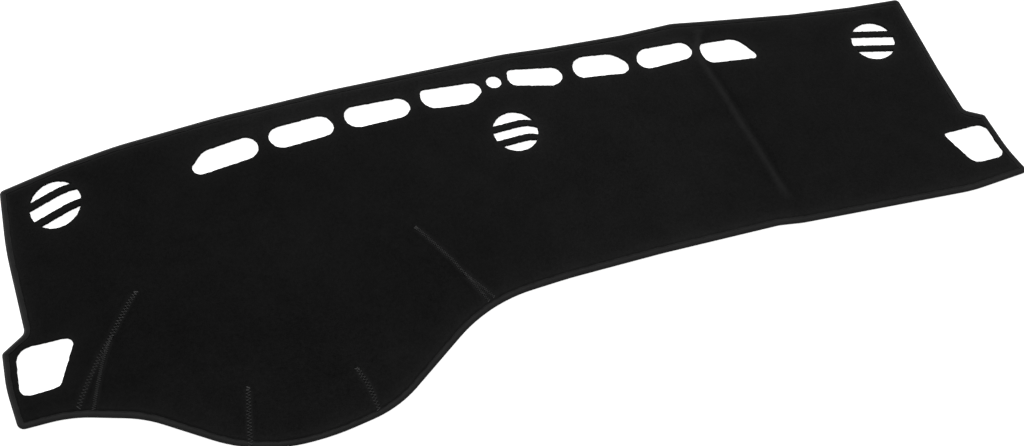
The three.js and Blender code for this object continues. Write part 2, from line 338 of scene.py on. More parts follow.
def distance_to(points: np.ndarray, path: np.ndarray, closed: bool = False) -> np.ndarray:
    """Distance of each point from a path or closed loop.

    Args:
        points: Points, one row each.
        path: The path's points, in order.
        closed: Whether the last point joins the first.

    Returns:
        One distance for each point.
    """
    starts = path if closed else path[:-1]
    spans = (np.roll(path, -1, axis=0) if closed else path[1:]) - starts
    squares = np.maximum((spans ** 2).sum(axis=1), 1e-12)
    nearest = np.empty(len(points))
    for first in range(0, len(points), 2000):
        part = points[first:first + 2000]
        gap = part[:, None, :] - starts[None]
        share = np.clip((gap * spans).sum(axis=2) / squares, 0, 1)
        gap -= share[..., None] * spans
        nearest[first:first + 2000] = np.sqrt((gap ** 2).sum(axis=2).min(axis=1))
    return nearest


def inside(points: np.ndarray, loop: np.ndarray) -> np.ndarray:
    """Whether each point lies inside a closed loop; a tail where the loop crosses itself is outside.

    Args:
        points: Points, one row each.
        loop: The loop's points, counterclockwise.

    Returns:
        One truth value for each point.
    """
    result = np.zeros(len(points), bool)
    low, high = loop.min(axis=0), loop.max(axis=0)
    near = np.flatnonzero(((points > low) & (points < high)).all(axis=1))
    ends = np.roll(loop, -1, axis=0)
    for first in range(0, len(near), 4000):
        rows = near[first:first + 4000]
        x, y = points[rows, 0][:, None], points[rows, 1][:, None]
        climbs = (ends[:, 1] > y).astype(int) - (loop[:, 1] > y)
        rise = np.where(ends[:, 1] == loop[:, 1], 1, ends[:, 1] - loop[:, 1])
        crossing = loop[:, 0] + (y - loop[:, 1]) * (ends[:, 0] - loop[:, 0]) / rise
        result[rows] = (climbs * (x < crossing)).sum(axis=1) > 0
    return result


def eased(value: np.ndarray) -> np.ndarray:
    """Smooth step from 0 at 0 to 1 at 1."""
    held = np.clip(value, 0, 1)
    return held * held * (3 - 2 * held)


def bell(value: np.ndarray | float, middle: float, reach: float) -> np.ndarray | float:
    """Round hump of height 1 over its middle, which has all but gone two reaches from it."""
    return np.exp(-(((value - middle) / reach) ** 2))


def ramp(value: np.ndarray, stops: Sequence[Point]) -> np.ndarray:
    """Straight lines from stop to stop, level past the first and the last."""
    return np.interp(value, *zip(*stops))


@dataclass
class SoftForm:
    """How the sheet lies: its dome over the hood, its sewn darts, its storage crease and faint waves."""

    plan: MatPlan
    thickness: float = 4.5
    hood_from_left: float = 330.0
    hood_from_front: float = 188.5
    hood_half_width: float = 260.0
    hood_half_depth: float = 170.0
    hood_rise: float = 12.0
    welt_offset: float = 3.8
    welt_width: float = 2.3
    welt_rise: float = 1.5
    seam_sink: float = 1.7
    seam_width: float = 1.5
    fold_fade: float = 14.0
    crease_half_width: float = 15.0
    crease_rise: float = 4.2
    wave_offset: float = 118.0
    wave_reach: float = 62.0
    wave_length: float = 74.0
    wave_rise: float = 0.9
    ripple_rise: float = 0.28
    ripple_margin: float = 45.0
    ripple_start: float = 12.0
    ridge_start: float = 10.0
    ridge_margin: float = 12.0
    welt_start: float = 9.0
    welt_margin: float = 5.0
    fold_reach: float = 12.0
    ridge_power: float = 1.4
    seam_spacing: float = 2.0
    seams: list[np.ndarray] = field(init=False)
    crease: np.ndarray = field(init=False)

    def __post_init__(self) -> None:
        """Lays out the seam lines and the crease."""
        left, rear = -self.plan.half_length, self.plan.rear_reach
        front, hood = self.plan.front_reach, self.plan.hood_reach
        lines = [
            moved_to(left, -front, [
                (168, 124), (150.5, 102), (128.5, 72.5), (109, 47), (86.5, 12), (74.5, -10)]),
            moved_to(left, -front, [(128.5, 72.5), (113, 43), (99.5, 8), (91, -16)]),
            moved_to(left, -hood, [(269, 86.5), (263, 59), (254, 12)]),
            moved_to(left, -hood, [(399.5, 75.5), (408, 47.5), (411, 16)]),
            moved_to(left, -front, [
                (527, 124), (537.5, 105), (559.5, 62.5), (568.5, 41.5), (595, -1)]),
            moved_to(left, -front, [(568.5, 41.5), (577, 20), (586.5, -5)]),
        ]
        self.seams = [curve_through(line, self.seam_spacing) for line in lines]
        self.crease = curve_through([
            (334, rear - 23.5), (321, rear - 48.5), (312.5, rear - 67.5), (312, rear - 87.5),
            (319, rear - 146.5), (323.5, rear - 201.5), (328.5, 123.5 - front), (332.5, 71.5 - front),
            (337, 20 - front)], self.seam_spacing)

    def dome(self, points: np.ndarray) -> np.ndarray:
        """Rise of the part that goes over the instrument hood.

        Args:
            points: Plan points, one row each.

        Returns:
            A height for each point.
        """
        centre = (self.hood_from_left - self.plan.half_length, self.hood_from_front - self.plan.hood_reach)
        reach = (((points - centre) / (self.hood_half_width, self.hood_half_depth)) ** 2).sum(axis=1)
        return self.hood_rise * np.maximum(0, 1 - reach) ** 2

    def fade(self, points: np.ndarray, path: np.ndarray) -> np.ndarray:
        """Share of a fold's height that stands at a point, from none at the fold's two ends."""
        from_ends = np.minimum(np.hypot(*(points - path[0]).T), np.hypot(*(points - path[-1]).T))
        return eased(from_ends / self.fold_fade)

    def seam_nearness(self, points: np.ndarray) -> tuple[np.ndarray, np.ndarray]:
        """How near each point is to a seam.

        Args:
            points: Plan points, one row each.

        Returns:
            Distance from the nearest seam line, and the share of its height that stands there.
        """
        distances = np.array([distance_to(points, seam) for seam in self.seams])
        strengths = np.array([self.fade(points, seam) for seam in self.seams])
        nearest = distances.argmin(axis=0)
        rows = np.arange(len(points))
        strength = np.where(distances.min(axis=0) < self.fold_reach, strengths[nearest, rows], 0)
        return distances.min(axis=0), strength

    def welts(self, points: np.ndarray) -> np.ndarray:
        """Height of the two welts beside each seam, sunk between them.

        Args:
            points: Plan points, one row each.

        Returns:
            A height for each point.
        """
        distance, strength = self.seam_nearness(points)
        welt = self.welt_rise * bell(distance, self.welt_offset, self.welt_width)
        sunk = self.seam_sink * bell(distance, 0, self.seam_width)
        return (welt - sunk) * strength

    def crease_offset(self, points: np.ndarray) -> np.ndarray:
        """Signed distance from the crease, to its right where it is over zero."""
        line = np.interp(points[:, 1], self.crease[::-1, 1], self.crease[::-1, 0])
        return np.sign(points[:, 0] - line) * distance_to(points, self.crease)

    def crease_ridge(self, points: np.ndarray) -> np.ndarray:
        """Height of the crease's rounded ridge and of the faint waves beside it.

        Args:
            points: Plan points, one row each.

        Returns:
            A height for each point.
        """
        offset = self.crease_offset(points)
        across = np.clip(np.abs(offset) / self.crease_half_width, 0, 1)
        ridge = self.crease_rise * (0.5 + 0.5 * np.cos(math.pi * across)) ** self.ridge_power
        ridge *= self.fade(points, self.crease)
        swell = self.wave_rise * bell(offset, -self.wave_offset, self.wave_reach)
        return ridge + swell * (0.5 + 0.5 * np.cos(2 * math.pi * offset / self.wave_length))

    def ripples(self, points: np.ndarray) -> np.ndarray:
        """Slight unevenness of a sheet that has been rolled and laid out.

        Args:
            points: Plan points, one row each.

        Returns:
            A height for each point.
        """
        x, y = points.T
        waves = (np.sin(x / 31 + 0.7) * np.sin(y / 24 + 1.1) + 0.8 * np.sin((x + 0.7 * y) / 47 + 2.0)
                 + 0.5 * np.sin((x - 1.3 * y) / 19 + 0.3))
        return self.ripple_rise * (waves + 2.3) / 2

    def rise(self, points: np.ndarray, edge_distance: np.ndarray) -> np.ndarray:
        """Height of the sheet's lie over its flat underside.

        Args:
            points: Plan points, one row each.
            edge_distance: Distance of each from the mat's outer edge.

        Returns:
            Height at each point, below zero only in a seam.
        """
        settle = eased((edge_distance - self.ripple_start) / self.ripple_margin)
        ridge_share = eased((edge_distance - self.ridge_start) / self.ridge_margin)
        ridge = self.crease_ridge(points) * (settle + (1 - settle) * ridge_share)
        welts = self.welts(points) * eased((edge_distance - self.welt_start) / self.welt_margin)
        return self.dome(points) + ridge + self.ripples(points) * settle + welts


class Graph:
    """Adds nodes to one tree and links them."""

    def __init__(self, tree: bpy.types.NodeTree) -> None:
        """Takes an empty or existing tree."""
        self.tree = tree

    def add(self, kind: str, feeds: dict | None = None, **settings: object) -> bpy.types.Node:
        """Adds a node.

        Args:
            kind: The node's type name.
            feeds: Values or sockets for its inputs, by name or index.
            **settings: The node's own properties.

        Returns:
            The new node.
        """
        node = self.tree.nodes.new(kind)
        for name, value in settings.items():
            setattr(node, name, value)
        for key, value in (feeds or {}).items():
            if isinstance(value, bpy.types.NodeSocket):
                self.tree.links.new(value, node.inputs[key])
            else:
                node.inputs[key].default_value = value
        return node

    def math(self, operation: str, *values: object, clamp: bool = False) -> bpy.types.NodeSocket:
        """The result of a Math node over numbers or sockets."""
        feeds = dict(enumerate(values))
        return self.add("ShaderNodeMath", feeds, operation=operation, use_clamp=clamp).outputs[0]

    def weighted(self, base: float, *terms: tuple[bpy.types.NodeSocket, float]) -> bpy.types.NodeSocket:
        """Adds up sockets by their weights.

        Args:
            base: Number that the sum starts from.
            *terms: Sockets with their weights.

        Returns:
            The sum, held between 0 and 1.
        """
        total = base
        for socket, weight in terms:
            total = self.math("MULTIPLY_ADD", socket, weight, total)
        return self.math("ADD", total, 0.0, clamp=True)

    def scaled(self, vector: bpy.types.NodeSocket, share: bpy.types.NodeSocket) -> bpy.types.NodeSocket:
        """A vector or colour times a number."""
        feeds = {0: vector, "Scale": share}
        return self.add("ShaderNodeVectorMath", feeds, operation="SCALE").outputs[0]

    def noise(self, place: bpy.types.NodeSocket, scale: float, detail: float = 2.0) -> bpy.types.NodeSocket:
        """A noise pattern's factor."""
        feeds = {"Vector": place, "Scale": scale, "Detail": detail, "Roughness": 0.6}
        return self.add("ShaderNodeTexNoise", feeds).outputs[0]

    def attribute(self, name: str) -> bpy.types.NodeSocket:
        """A number that the mesh holds at each point."""
        return self.add("ShaderNodeAttribute", attribute_name=name, attribute_type="GEOMETRY").outputs["Fac"]


def new_material(name: str) -> tuple[bpy.types.Material, Graph]:
    """Starts a node material.

    Args:
        name: The material's name.

    Returns:
        The material and its empty graph.
    """
    material = bpy.data.materials.new(name)
    material.use_nodes = True
    material.node_tree.nodes.clear()
    return material, Graph(material.node_tree)


@dataclass(frozen=True)
class Finish:
    """What every finish of the mat has: two colours that a tone runs between, a gloss and a bump."""

    name: str
    dark: Colour
    light: Colour
    roughness: float = 0.7
    specular: float = 0.1
    sheen: float = 0.0
    sheen_roughness: float = 0.5
    bump_strength: float = 0.7
    bump_depth: float = 0.0002
    painted_light: str = ""

    def pattern(self, graph: Graph) -> tuple[bpy.types.NodeSocket, bpy.types.NodeSocket]:
        """Lays out the finish's own pattern.

        Args:
            graph: The graph that takes the pattern's nodes.

        Returns:
            The tone between the two colours, and the height of the bump.
        """
        raise NotImplementedError

    def material(self) -> bpy.types.Material:
        """Builds the material; where the finish names an attribute of painted light and shade, the colour is
        scaled by it.

        Returns:
            The new material.
        """
        material, graph = new_material(self.name)
        tone, height = self.pattern(graph)
        ends = {0: tone, 6: (*self.dark, 1), 7: (*self.light, 1)}
        colour = graph.add("ShaderNodeMix", ends, data_type="RGBA").outputs[2]
        # Painted light and shade: the colour is scaled by the named attribute.
        if self.painted_light:
            colour = graph.scaled(colour, graph.attribute(self.painted_light))
        bump = {"Strength": self.bump_strength, "Distance": self.bump_depth, "Height": height}
        shader = graph.add("ShaderNodeBsdfPrincipled", {
            "Base Color": colour, "Normal": graph.add("ShaderNodeBump", bump).outputs[0],
            "Roughness": self.roughness, "Specular IOR Level": self.specular,
            "Sheen Weight": self.sheen, "Sheen Roughness": self.sheen_roughness})
        graph.add("ShaderNodeOutputMaterial", {"Surface": shader.outputs[0]})
        return material


@dataclass(frozen=True)
class PileFinish(Finish):
    """Short needled velour: near black, mottled softly, lighter where the pile is pressed or cut, with
    painted sheen, highlight and shade read from the mesh.
    """

    roughness: float = 0.95
    specular: float = 0.02
    sheen: float = 0.03
    sheen_roughness: float = 0.45
    bump_strength: float = 0.8
    bump_depth: float = 0.0006
    painted_light: str = "pile_painted_light"
    fibre_scale: float = 780.0
    tuft_scale: float = 210.0
    patch_scale: float = 34.0
    cloud_scale: float = 7.5

    def pattern(self, graph: Graph) -> tuple[bpy.types.NodeSocket, bpy.types.NodeSocket]:
        """Fibres, tufts, patches and clouds, with the mesh's painted sheen, highlight and shade at its edge
        and folds, and its lighter cuts.

        Args:
            graph: The graph that takes the pattern's nodes.

        Returns:
            The tone between the two colours, and the height of the bump.
        """
        place = graph.add("ShaderNodeTexCoord").outputs["Object"]
        fibre = graph.noise(place, self.fibre_scale, 3.0)
        tuft = graph.noise(place, self.tuft_scale)
        patch = graph.noise(place, self.patch_scale, 3.0)
        cloud = graph.noise(place, self.cloud_scale)
        # Painted sheen, highlight and shade from the mesh, with the lighter fuzz of its cut openings.
        cut, fold_light_and_shade = graph.attribute("cut_fuzz_and_edge_sheen"), graph.attribute("pressed_pile_and_painted_light")
        tone = graph.weighted(
            -0.8, (fibre, 1.0), (tuft, 0.55), (patch, 0.35), (cloud, 0.35), (cut, 0.3), (fold_light_and_shade, 0.6))
        return tone, graph.math("MULTIPLY_ADD", tuft, 0.7, fibre)


@dataclass(frozen=True)
class WovenFinish(Finish):
    """Woven binding tape: fine ribs across its length, on the tape's own UV map in metres."""

    specular: float = 0.12
    sheen: float = 0.09
    sheen_roughness: float = 0.3
    bump_depth: float = 0.00025
    painted_light: str = "tape_painted_light"
    rib_pitch: float = 0.0011
    cord_share: float = 0.8
    fuzz_scale: float = 900.0
    wear_scale: float = 55.0

    def pattern(self, graph: Graph) -> tuple[bpy.types.NodeSocket, bpy.types.NodeSocket]:
        """The weave, its fuzz and its wear.

        Args:
            graph: The graph that takes the pattern's nodes.

        Returns:
            The tone between the two colours, and the height of the bump.
        """
        lay = graph.add("ShaderNodeUVMap", uv_map="lay").outputs[0]
        axes = graph.add("ShaderNodeSeparateXYZ", {0: lay}).outputs
        turns = 2 * math.pi / self.rib_pitch
        ribs = graph.math("SINE", graph.math("MULTIPLY", axes[0], turns))
        cords = graph.math("SINE", graph.math("MULTIPLY", axes[1], turns * self.cord_share))
        weave = graph.math("MULTIPLY_ADD", graph.math("MULTIPLY", ribs, cords), 0.25, 0.5)
        place = graph.add("ShaderNodeTexCoord").outputs["Object"]
        fuzz = graph.noise(place, self.fuzz_scale)
        wear = graph.noise(place, self.wear_scale, 3.0)
        tone = graph.weighted(-0.42, (weave, 0.35), (fuzz, 0.7), (wear, 0.7))
        return tone, graph.math("MULTIPLY_ADD", fuzz, 0.4, weave)


@dataclass(frozen=True)
class ThreadFinish(Finish):
    """Spun polyester thread with a fine twist."""

    roughness: float = 0.65
    specular: float = 0.15
    bump_strength: float = 0.5
    bump_depth: float = 0.0001
    twist_scale: float = 1500.0
    lie_scale: float = 120.0

    def pattern(self, graph: Graph) -> tuple[bpy.types.NodeSocket, bpy.types.NodeSocket]:
        """The twist, and how the thread lies.

        Args:
            graph: The graph that takes the pattern's nodes.

        Returns:
            The tone between the two colours, and the height of the bump.
        """
        place = graph.add("ShaderNodeTexCoord").outputs["Object"]
        twist = graph.noise(place, self.twist_scale)
        return graph.weighted(-0.15, (twist, 0.7), (graph.noise(place, self.lie_scale), 0.6)), twist


def new_piece(mesh: bpy.types.Mesh, name: str, node: str | None = None) -> bpy.types.Object:
    """Makes a mesh an object of the mat, under its body, and hides the frame's node that it stands for, if
    any.

    Args:
        mesh: The finished mesh, in the mat's own frame.
        name: The piece's name.
        node: The node of the frame that it stands for, if any.

    Returns:
        The new object.
    """
    mesh.name = name
    piece = bpy.data.objects.new(name, mesh)
    bpy.context.scene.collection.objects.link(piece)
    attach(piece, BODY)
    if node:
        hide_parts(node)
    triangles = sum(len(face.vertices) - 2 for face in mesh.polygons)
    log.info("%s: %d triangles", name, triangles)
    return piece


def mesh_from(name: str, points: np.ndarray, faces: Iterable[Sequence[int]],
              sharp_angle: float) -> bpy.types.Mesh:
    """A smooth mesh from points in millimetres, with its sharp edges kept.

    Args:
        name: The mesh's name.
        points: X, Y and Z of each point.
        faces: Point numbers of each face.
        sharp_angle: Angle in degrees past which an edge stays sharp.

    Returns:
        The mesh, in metres.
    """
    mesh = bpy.data.meshes.new(name)
    mesh.from_pydata((points * MM).tolist(), [], [list(map(int, face)) for face in faces])
    mesh.shade_smooth()
    mesh.set_sharp_from_angle(angle=math.radians(sharp_angle))
    return mesh


def mark_points(mesh: bpy.types.Mesh, name: str, values: np.ndarray) -> None:
    """Writes a number at each point of a mesh, for a finish to read."""
    layer = mesh.attributes.new(name, "FLOAT", "POINT")
    layer.data.foreach_set("value", values.astype(np.float32))


def outward_sides(loop: np.ndarray) -> np.ndarray:
    """Directions square to a closed loop.

    Args:
        loop: The loop's points, counterclockwise.

    Returns:
        A unit direction out of the loop for each point.
    """
    along = np.roll(loop, -1, axis=0) - np.roll(loop, 1, axis=0)
    along /= np.maximum(np.hypot(*along.T), 1e-9)[:, None]
    return np.column_stack([along[:, 1], -along[:, 0]])


@dataclass(frozen=True)
class PilePaintedLight:
    """Painted light on the pile: painted sheen beside the tape and near the rear edge, painted highlight and
    shade at its folds, painted light and shade across the mat, and lighter fuzz at its cut openings.

    A stop is a place in millimetres and the value there, and a fade is its reach and its strength.
    """

    opening_fades: tuple[Point, ...] = ((6.0, 1.0), (20.0, 0.5))
    tape_sheen_fades: tuple[Point, ...] = ((5.0, 1.2), (16.0, 0.6))
    groove_reach: float = 2.0
    groove_shading_stops: tuple[Point, ...] = ((40, 0.22), (130, -0.7))
    crease_middle: float = -1.8
    crease_reach: float = 4.6
    shade_middle: float = 8.0
    shade_reach: float = 6.0
    shade_depth: float = 0.4
    rear_end_fade: float = 34.0
    front_end_fade: float = 42.0
    seam_reach: float = 3.4
    seam_strength: float = 1.6
    # Painted light and shade across the mat: darker to the left, darker right of the crease, lighter crests
    # beside it, lighter near the front, and painted sheen near the rear edge.
    length_stops: tuple[Point, ...] = (
        (-690, 0.69), (-600, 0.70), (-370, 0.77), (-150, 0.86), (20, 0.98), (220, 1.01))
    crease_stops: tuple[Point, ...] = ((0, 1.0), (8, 0.91), (60, 0.94), (160, 0.97))
    wave_crests: tuple[tuple[float, float, float], ...] = ((-150, 26, 0.07), (-96, 20, 0.05), (-48, 16, 0.03))
    front_start: float = -60.0
    front_margin: float = 110.0
    front_stops: tuple[Point, ...] = ((-620, 0.0), (-470, 0.2), (-150, 0.2))
    rear_start: float = 170.0
    rear_margin: float = 40.0
    rear_stops: tuple[Point, ...] = ((-480, 0.0), (-360, 0.24), (-60, 0.24), (120, 0.024))

    def glow(self, distance: np.ndarray, fades: tuple[Point, ...]) -> np.ndarray:
        """Lightness beside a cut or beside the tape's inner edge, from the distance to it; beside the tape it
        is painted sheen.
        """
        return sum(strength * np.exp(-distance / reach) for reach, strength in fades)

    def folds(self, form: SoftForm, points: np.ndarray) -> np.ndarray:
        """Lighter pressed pile on the crease and along the seams, partly a painted highlight, less the
        painted shade to the crease's right.

        Args:
            form: How the sheet lies.
            points: Plan points, one row each.

        Returns:
            A lightness for each point.
        """
        offset = form.crease_offset(points)
        from_rear, from_front = (np.hypot(*(points - end).T) for end in form.crease[[0, -1]])
        ends = eased(from_rear / self.rear_end_fade) * eased(from_front / self.front_end_fade)
        # Lighter crease line, partly a painted highlight, and painted shade just to its right.
        crease = bell(offset, self.crease_middle, self.crease_reach) * ends
        shade = bell(offset, self.shade_middle, self.shade_reach) * ends
        distance, strength = form.seam_nearness(points)
        seam = self.seam_strength * bell(distance, 0, self.seam_reach) * strength
        return np.maximum(crease, seam) - self.shade_depth * shade

    def painted_light_gradient(self, form: SoftForm, points: np.ndarray) -> np.ndarray:
        """Painted light and shade across the mat: darker to the left and to the right of the crease, lighter
        on wave crests, near the front and near the rear edge.

        Args:
            form: How the sheet lies.
            points: Plan points, one row each.

        Returns:
            Share of its own colour that the pile shows at each point, painted light and shade included.
        """
        x, y = points.T
        offset = form.crease_offset(points)
        share = ramp(x, self.length_stops) * ramp(offset, self.crease_stops)
        for middle, reach, gain in self.wave_crests:
            share *= 1 + gain * bell(offset, middle, reach)
        share *= 1 + eased((self.front_start - y) / self.front_margin) * ramp(x, self.front_stops)
        return share * (1 + eased((y - self.rear_start) / self.rear_margin) * ramp(x, self.rear_stops))

    def marks(self, form: SoftForm, points: np.ndarray, from_tape: np.ndarray,
              from_opening: np.ndarray) -> dict[str, np.ndarray]:
        """What the pile's finish reads at each point of the sheet.

        Args:
            form: How the sheet lies.
            points: Plan points, one row each.
            from_tape: Distance of each from the tape's inner edge.
            from_opening: Distance of each from the nearest opening.

        Returns:
            The values of each attribute, by its name.
        """
        # Painted shade in the groove at the tape's inner edge towards the front, turning to a painted
        # highlight along the rear.
        groove_shading = bell(from_tape, 0, self.groove_reach) * ramp(points[:, 1], self.groove_shading_stops)
        return {
            # Lighter fuzz at the cut openings, and painted sheen of the rolled edge beside the tape.
            "cut_fuzz_and_edge_sheen": np.maximum(
                self.glow(from_opening, self.opening_fades), self.glow(from_tape, self.tape_sheen_fades)),
            "pressed_pile_and_painted_light": self.folds(form, points) - groove_shading,
            "pile_painted_light": self.painted_light_gradient(form, points)}


@dataclass
class CarpetSheet:
    """The cut sheet: pile on top, felt backing below, with its raw cut openings."""

    plan: MatPlan
    form: SoftForm
    painted_light: PilePaintedLight
    pile: PileFinish
    backing: PileFinish
    tongue_inset: float = 2.4
    tongue_low: float = 1.25
    tongue_high: float = 3.25
    tongue_end: float = 8.7
    shoulder_width: float = 2.8
    edge_rings: tuple[float, ...] = (4.5, 6.4, 7.2, 8.0, 8.8, 9.6, 10.6, 12.0, 14.5)
    edge_spacing: float = 4.0
    opening_rings: tuple[float, ...] = (0.5, 1.2, 2.4)
    opening_spacing: float = 2.0
    opening_round: float = 1.0
    grid_spacing: float = 5.6
    ring_gap: float = 0.42
    edge_gap: float = 0.7
    fold_gap: float = 1.15
    crease_gap: float = 2.1
    grid_share: float = 0.72
    fold_offsets: tuple[float, ...] = (0.0, 1.3, 2.6, 4.0, 5.6, 7.6, 10.0)
    crease_offsets: tuple[float, ...] = (0.0, 2.5, 5.0, 7.5, 10.0, 12.5, 15.5, 19.0)
    cut_wobble: float = 0.24
    cut_fuzz: float = 0.45
    cut_cycles: tuple[int, ...] = (7, 13, 19, 31)
    least_thickness: float = 1.2
    rim_share: float = 0.85
    lower_rim_share: float = 0.3
    sharp_angle: float = 55.0

    def wavy_cut(self, loop: np.ndarray, seed: int) -> np.ndarray:
        """Makes a cut edge slightly uneven and fuzzy, as a blade leaves it in pile.

        Args:
            loop: The opening's loop, counterclockwise.
            seed: Number that sets its unevenness.

        Returns:
            The uneven loop, with as many points.
        """
        steps = np.hypot(*(np.roll(loop, -1, axis=0) - loop).T)
        turns = 2 * math.pi * (np.cumsum(steps) - steps) / steps.sum()
        waves = sum(np.sin(turns * (cycles + seed % 3) + seed * cycles) for cycles in self.cut_cycles)
        return loop + outward_sides(loop) * (self.cut_wobble * waves / 2 - self.cut_fuzz)[:, None]

    def offset_rows(self, path: np.ndarray, offsets: Sequence[float]) -> np.ndarray:
        """Rows of points beside a fold, on both of its sides."""
        sides = side_directions(path)
        return np.vstack([path + sides * offset * hand for offset in offsets for hand in (1, -1)])

    def grid(self) -> np.ndarray:
        """An even triangular grid over the whole mat.

        Returns:
            The grid's points, one row each.
        """
        reach = self.plan.half_length
        depth = max(self.plan.rear_reach, self.plan.hood_reach)
        row_gap = self.grid_spacing * math.sqrt(3) / 2
        rows = np.arange(-depth, depth, row_gap)
        columns = np.arange(-reach, reach, self.grid_spacing)
        return np.vstack([
            np.column_stack([columns + self.grid_spacing * 0.5 * (number % 2), np.full(len(columns), y)])
            for number, y in enumerate(rows)])

    def thinned(self, groups: Sequence[tuple[np.ndarray, float]]) -> np.ndarray:
        """Keeps the points that stand clear of those before them.

        Args:
            groups: Points and the gap that each of them needs, the most needed first.

        Returns:
            The points that are kept.
        """
        cell = max(gap for _, gap in groups)
        cells: dict[tuple[int, int], list[tuple[float, float]]] = {}
        kept = []
        for points, gap in groups:
            for x, y in points.tolist():
                column, row = int(x // cell), int(y // cell)
                near = (other for i in (-1, 0, 1) for j in (-1, 0, 1)
                        for other in cells.get((column + i, row + j), ()))
                if all((x - ox) ** 2 + (y - oy) ** 2 >= gap * gap for ox, oy in near):
                    cells.setdefault((column, row), []).append((x, y))
                    kept.append((x, y))
        return np.array(kept)

    def plan_mesh(self) -> tuple[np.ndarray, np.ndarray, list[np.ndarray]]:
        """Triangles of the sheet's plan.

        Returns:
            The plan's points, its triangles counterclockwise, and the loop of each opening.
        """
        edges = self.plan.edge_loops((self.tongue_inset, *self.edge_rings), self.edge_spacing)
        openings = [self.wavy_cut(loop, seed)
                    for seed, loop in enumerate(self.plan.opening_loops(self.opening_spacing))]
        rings = [cut + outward_sides(cut) * ring for ring in self.opening_rings for cut in openings]
        folds = np.vstack([self.offset_rows(seam, self.fold_offsets) for seam in self.form.seams])
        crease = self.offset_rows(self.form.crease, self.crease_offsets)
        bounds = [edges[0], *openings]
        points = self.thinned([
            (np.vstack(bounds), 0.0), (np.vstack(rings), self.ring_gap),
            (np.vstack(edges[1:]), self.edge_gap), (folds, self.fold_gap),
            (crease, self.crease_gap), (self.grid(), self.grid_spacing * self.grid_share)])
        links, start = [], 0
        for loop in bounds:
            numbers = list(range(start, start + len(loop)))
            links += zip(numbers, numbers[1:] + numbers[:1])
            start += len(loop)
        flat = [Vector(point) for point in points.tolist()]
        made, _, faces, _, _, _ = delaunay_2d_cdt(flat, links, [], 0, 1e-5)
        placed = np.array([tuple(point) for point in made])
        triangles = np.array([face for face in faces if len(face) == 3])
        a, b, c = (placed[triangles[:, k]] for k in range(3))
        middles = (a + b + c) / 3
        keep = inside(middles, edges[0])
        for opening in openings:
            keep &= ~inside(middles, opening)
        area = (b[:, 0] - a[:, 0]) * (c[:, 1] - a[:, 1]) - (b[:, 1] - a[:, 1]) * (c[:, 0] - a[:, 0])
        triangles[area < 0] = triangles[area < 0][:, ::-1]
        used, compact = np.unique(triangles[keep], return_inverse=True)
        return placed[used], compact.reshape(-1, 3), openings

    def rims(self, triangles: np.ndarray) -> list[tuple[int, int]]:
        """Edges of one triangle only, in its direction: the outer edge and the rims of the openings."""
        edges = {(a, b) for corners in triangles.tolist() for a, b in zip(corners, corners[1:] + corners[:1])}
        return sorted(edge for edge in edges if edge[::-1] not in edges)

    def faces_at(self, points: np.ndarray, edge: np.ndarray, opening: np.ndarray,
                 shoulder: np.ndarray) -> tuple[np.ndarray, np.ndarray]:
        """Heights of the sheet's two faces, which draw together under the tape.

        Args:
            points: Plan points, one row each.
            edge: Distance of each from the outer edge.
            opening: Distance of each from the nearest opening.
            shoulder: 0 where the tape holds the sheet, and 1 clear of it.

        Returns:
            The upper and the lower face's height at each point.
        """
        rise = self.form.rise(points, edge)
        cut = 1 - np.clip(opening / self.opening_round, 0, 1)
        drop = self.opening_round * (1 - np.sqrt(1 - cut ** 2)) * self.rim_share
        high = self.tongue_high + (self.form.thickness - self.tongue_high) * shoulder
        low = self.tongue_low * (1 - shoulder)
        top = np.maximum(rise * shoulder + high - drop, low + self.least_thickness)
        bottom = np.maximum(np.maximum(rise, 0) * shoulder + low + drop * self.lower_rim_share, 0)
        return top, bottom

    def build(self) -> bpy.types.Object:
        """Builds the sheet.

        Returns:
            The sheet's object.
        """
        points, triangles, openings = self.plan_mesh()
        edge_line = self.plan.edge_loops((0.0,), self.edge_spacing)[0]
        edge = distance_to(points, edge_line, closed=True)
        opening = np.min([distance_to(points, loop, closed=True) for loop in openings], axis=0)
        from_tape = edge - self.tongue_end * self.plan.tape_share(points)
        top, bottom = self.faces_at(points, edge, opening, eased(from_tape / self.shoulder_width))
        count = len(points)
        solid = [np.column_stack([points, top]), np.column_stack([points, bottom])]
        walls = [[a + count, b + count, b, a] for a, b in self.rims(triangles)]
        faces = [*triangles.tolist(), *(triangles[:, ::-1] + count).tolist(), *walls]
        mesh = mesh_from("velour_sheet", np.vstack(solid), faces, self.sharp_angle)
        for name, values in self.painted_light.marks(self.form, points, np.maximum(from_tape, 0), opening).items():
            mark_points(mesh, name, np.tile(values, 2))
        for finish in (self.pile, self.backing):
            mesh.materials.append(finish.material())
        marks = np.zeros(len(mesh.polygons), int)
        marks[len(triangles):2 * len(triangles)] = 1
        mesh.polygons.foreach_set("material_index", marks)
        return new_piece(mesh, "velour_sheet", "mat_panel")


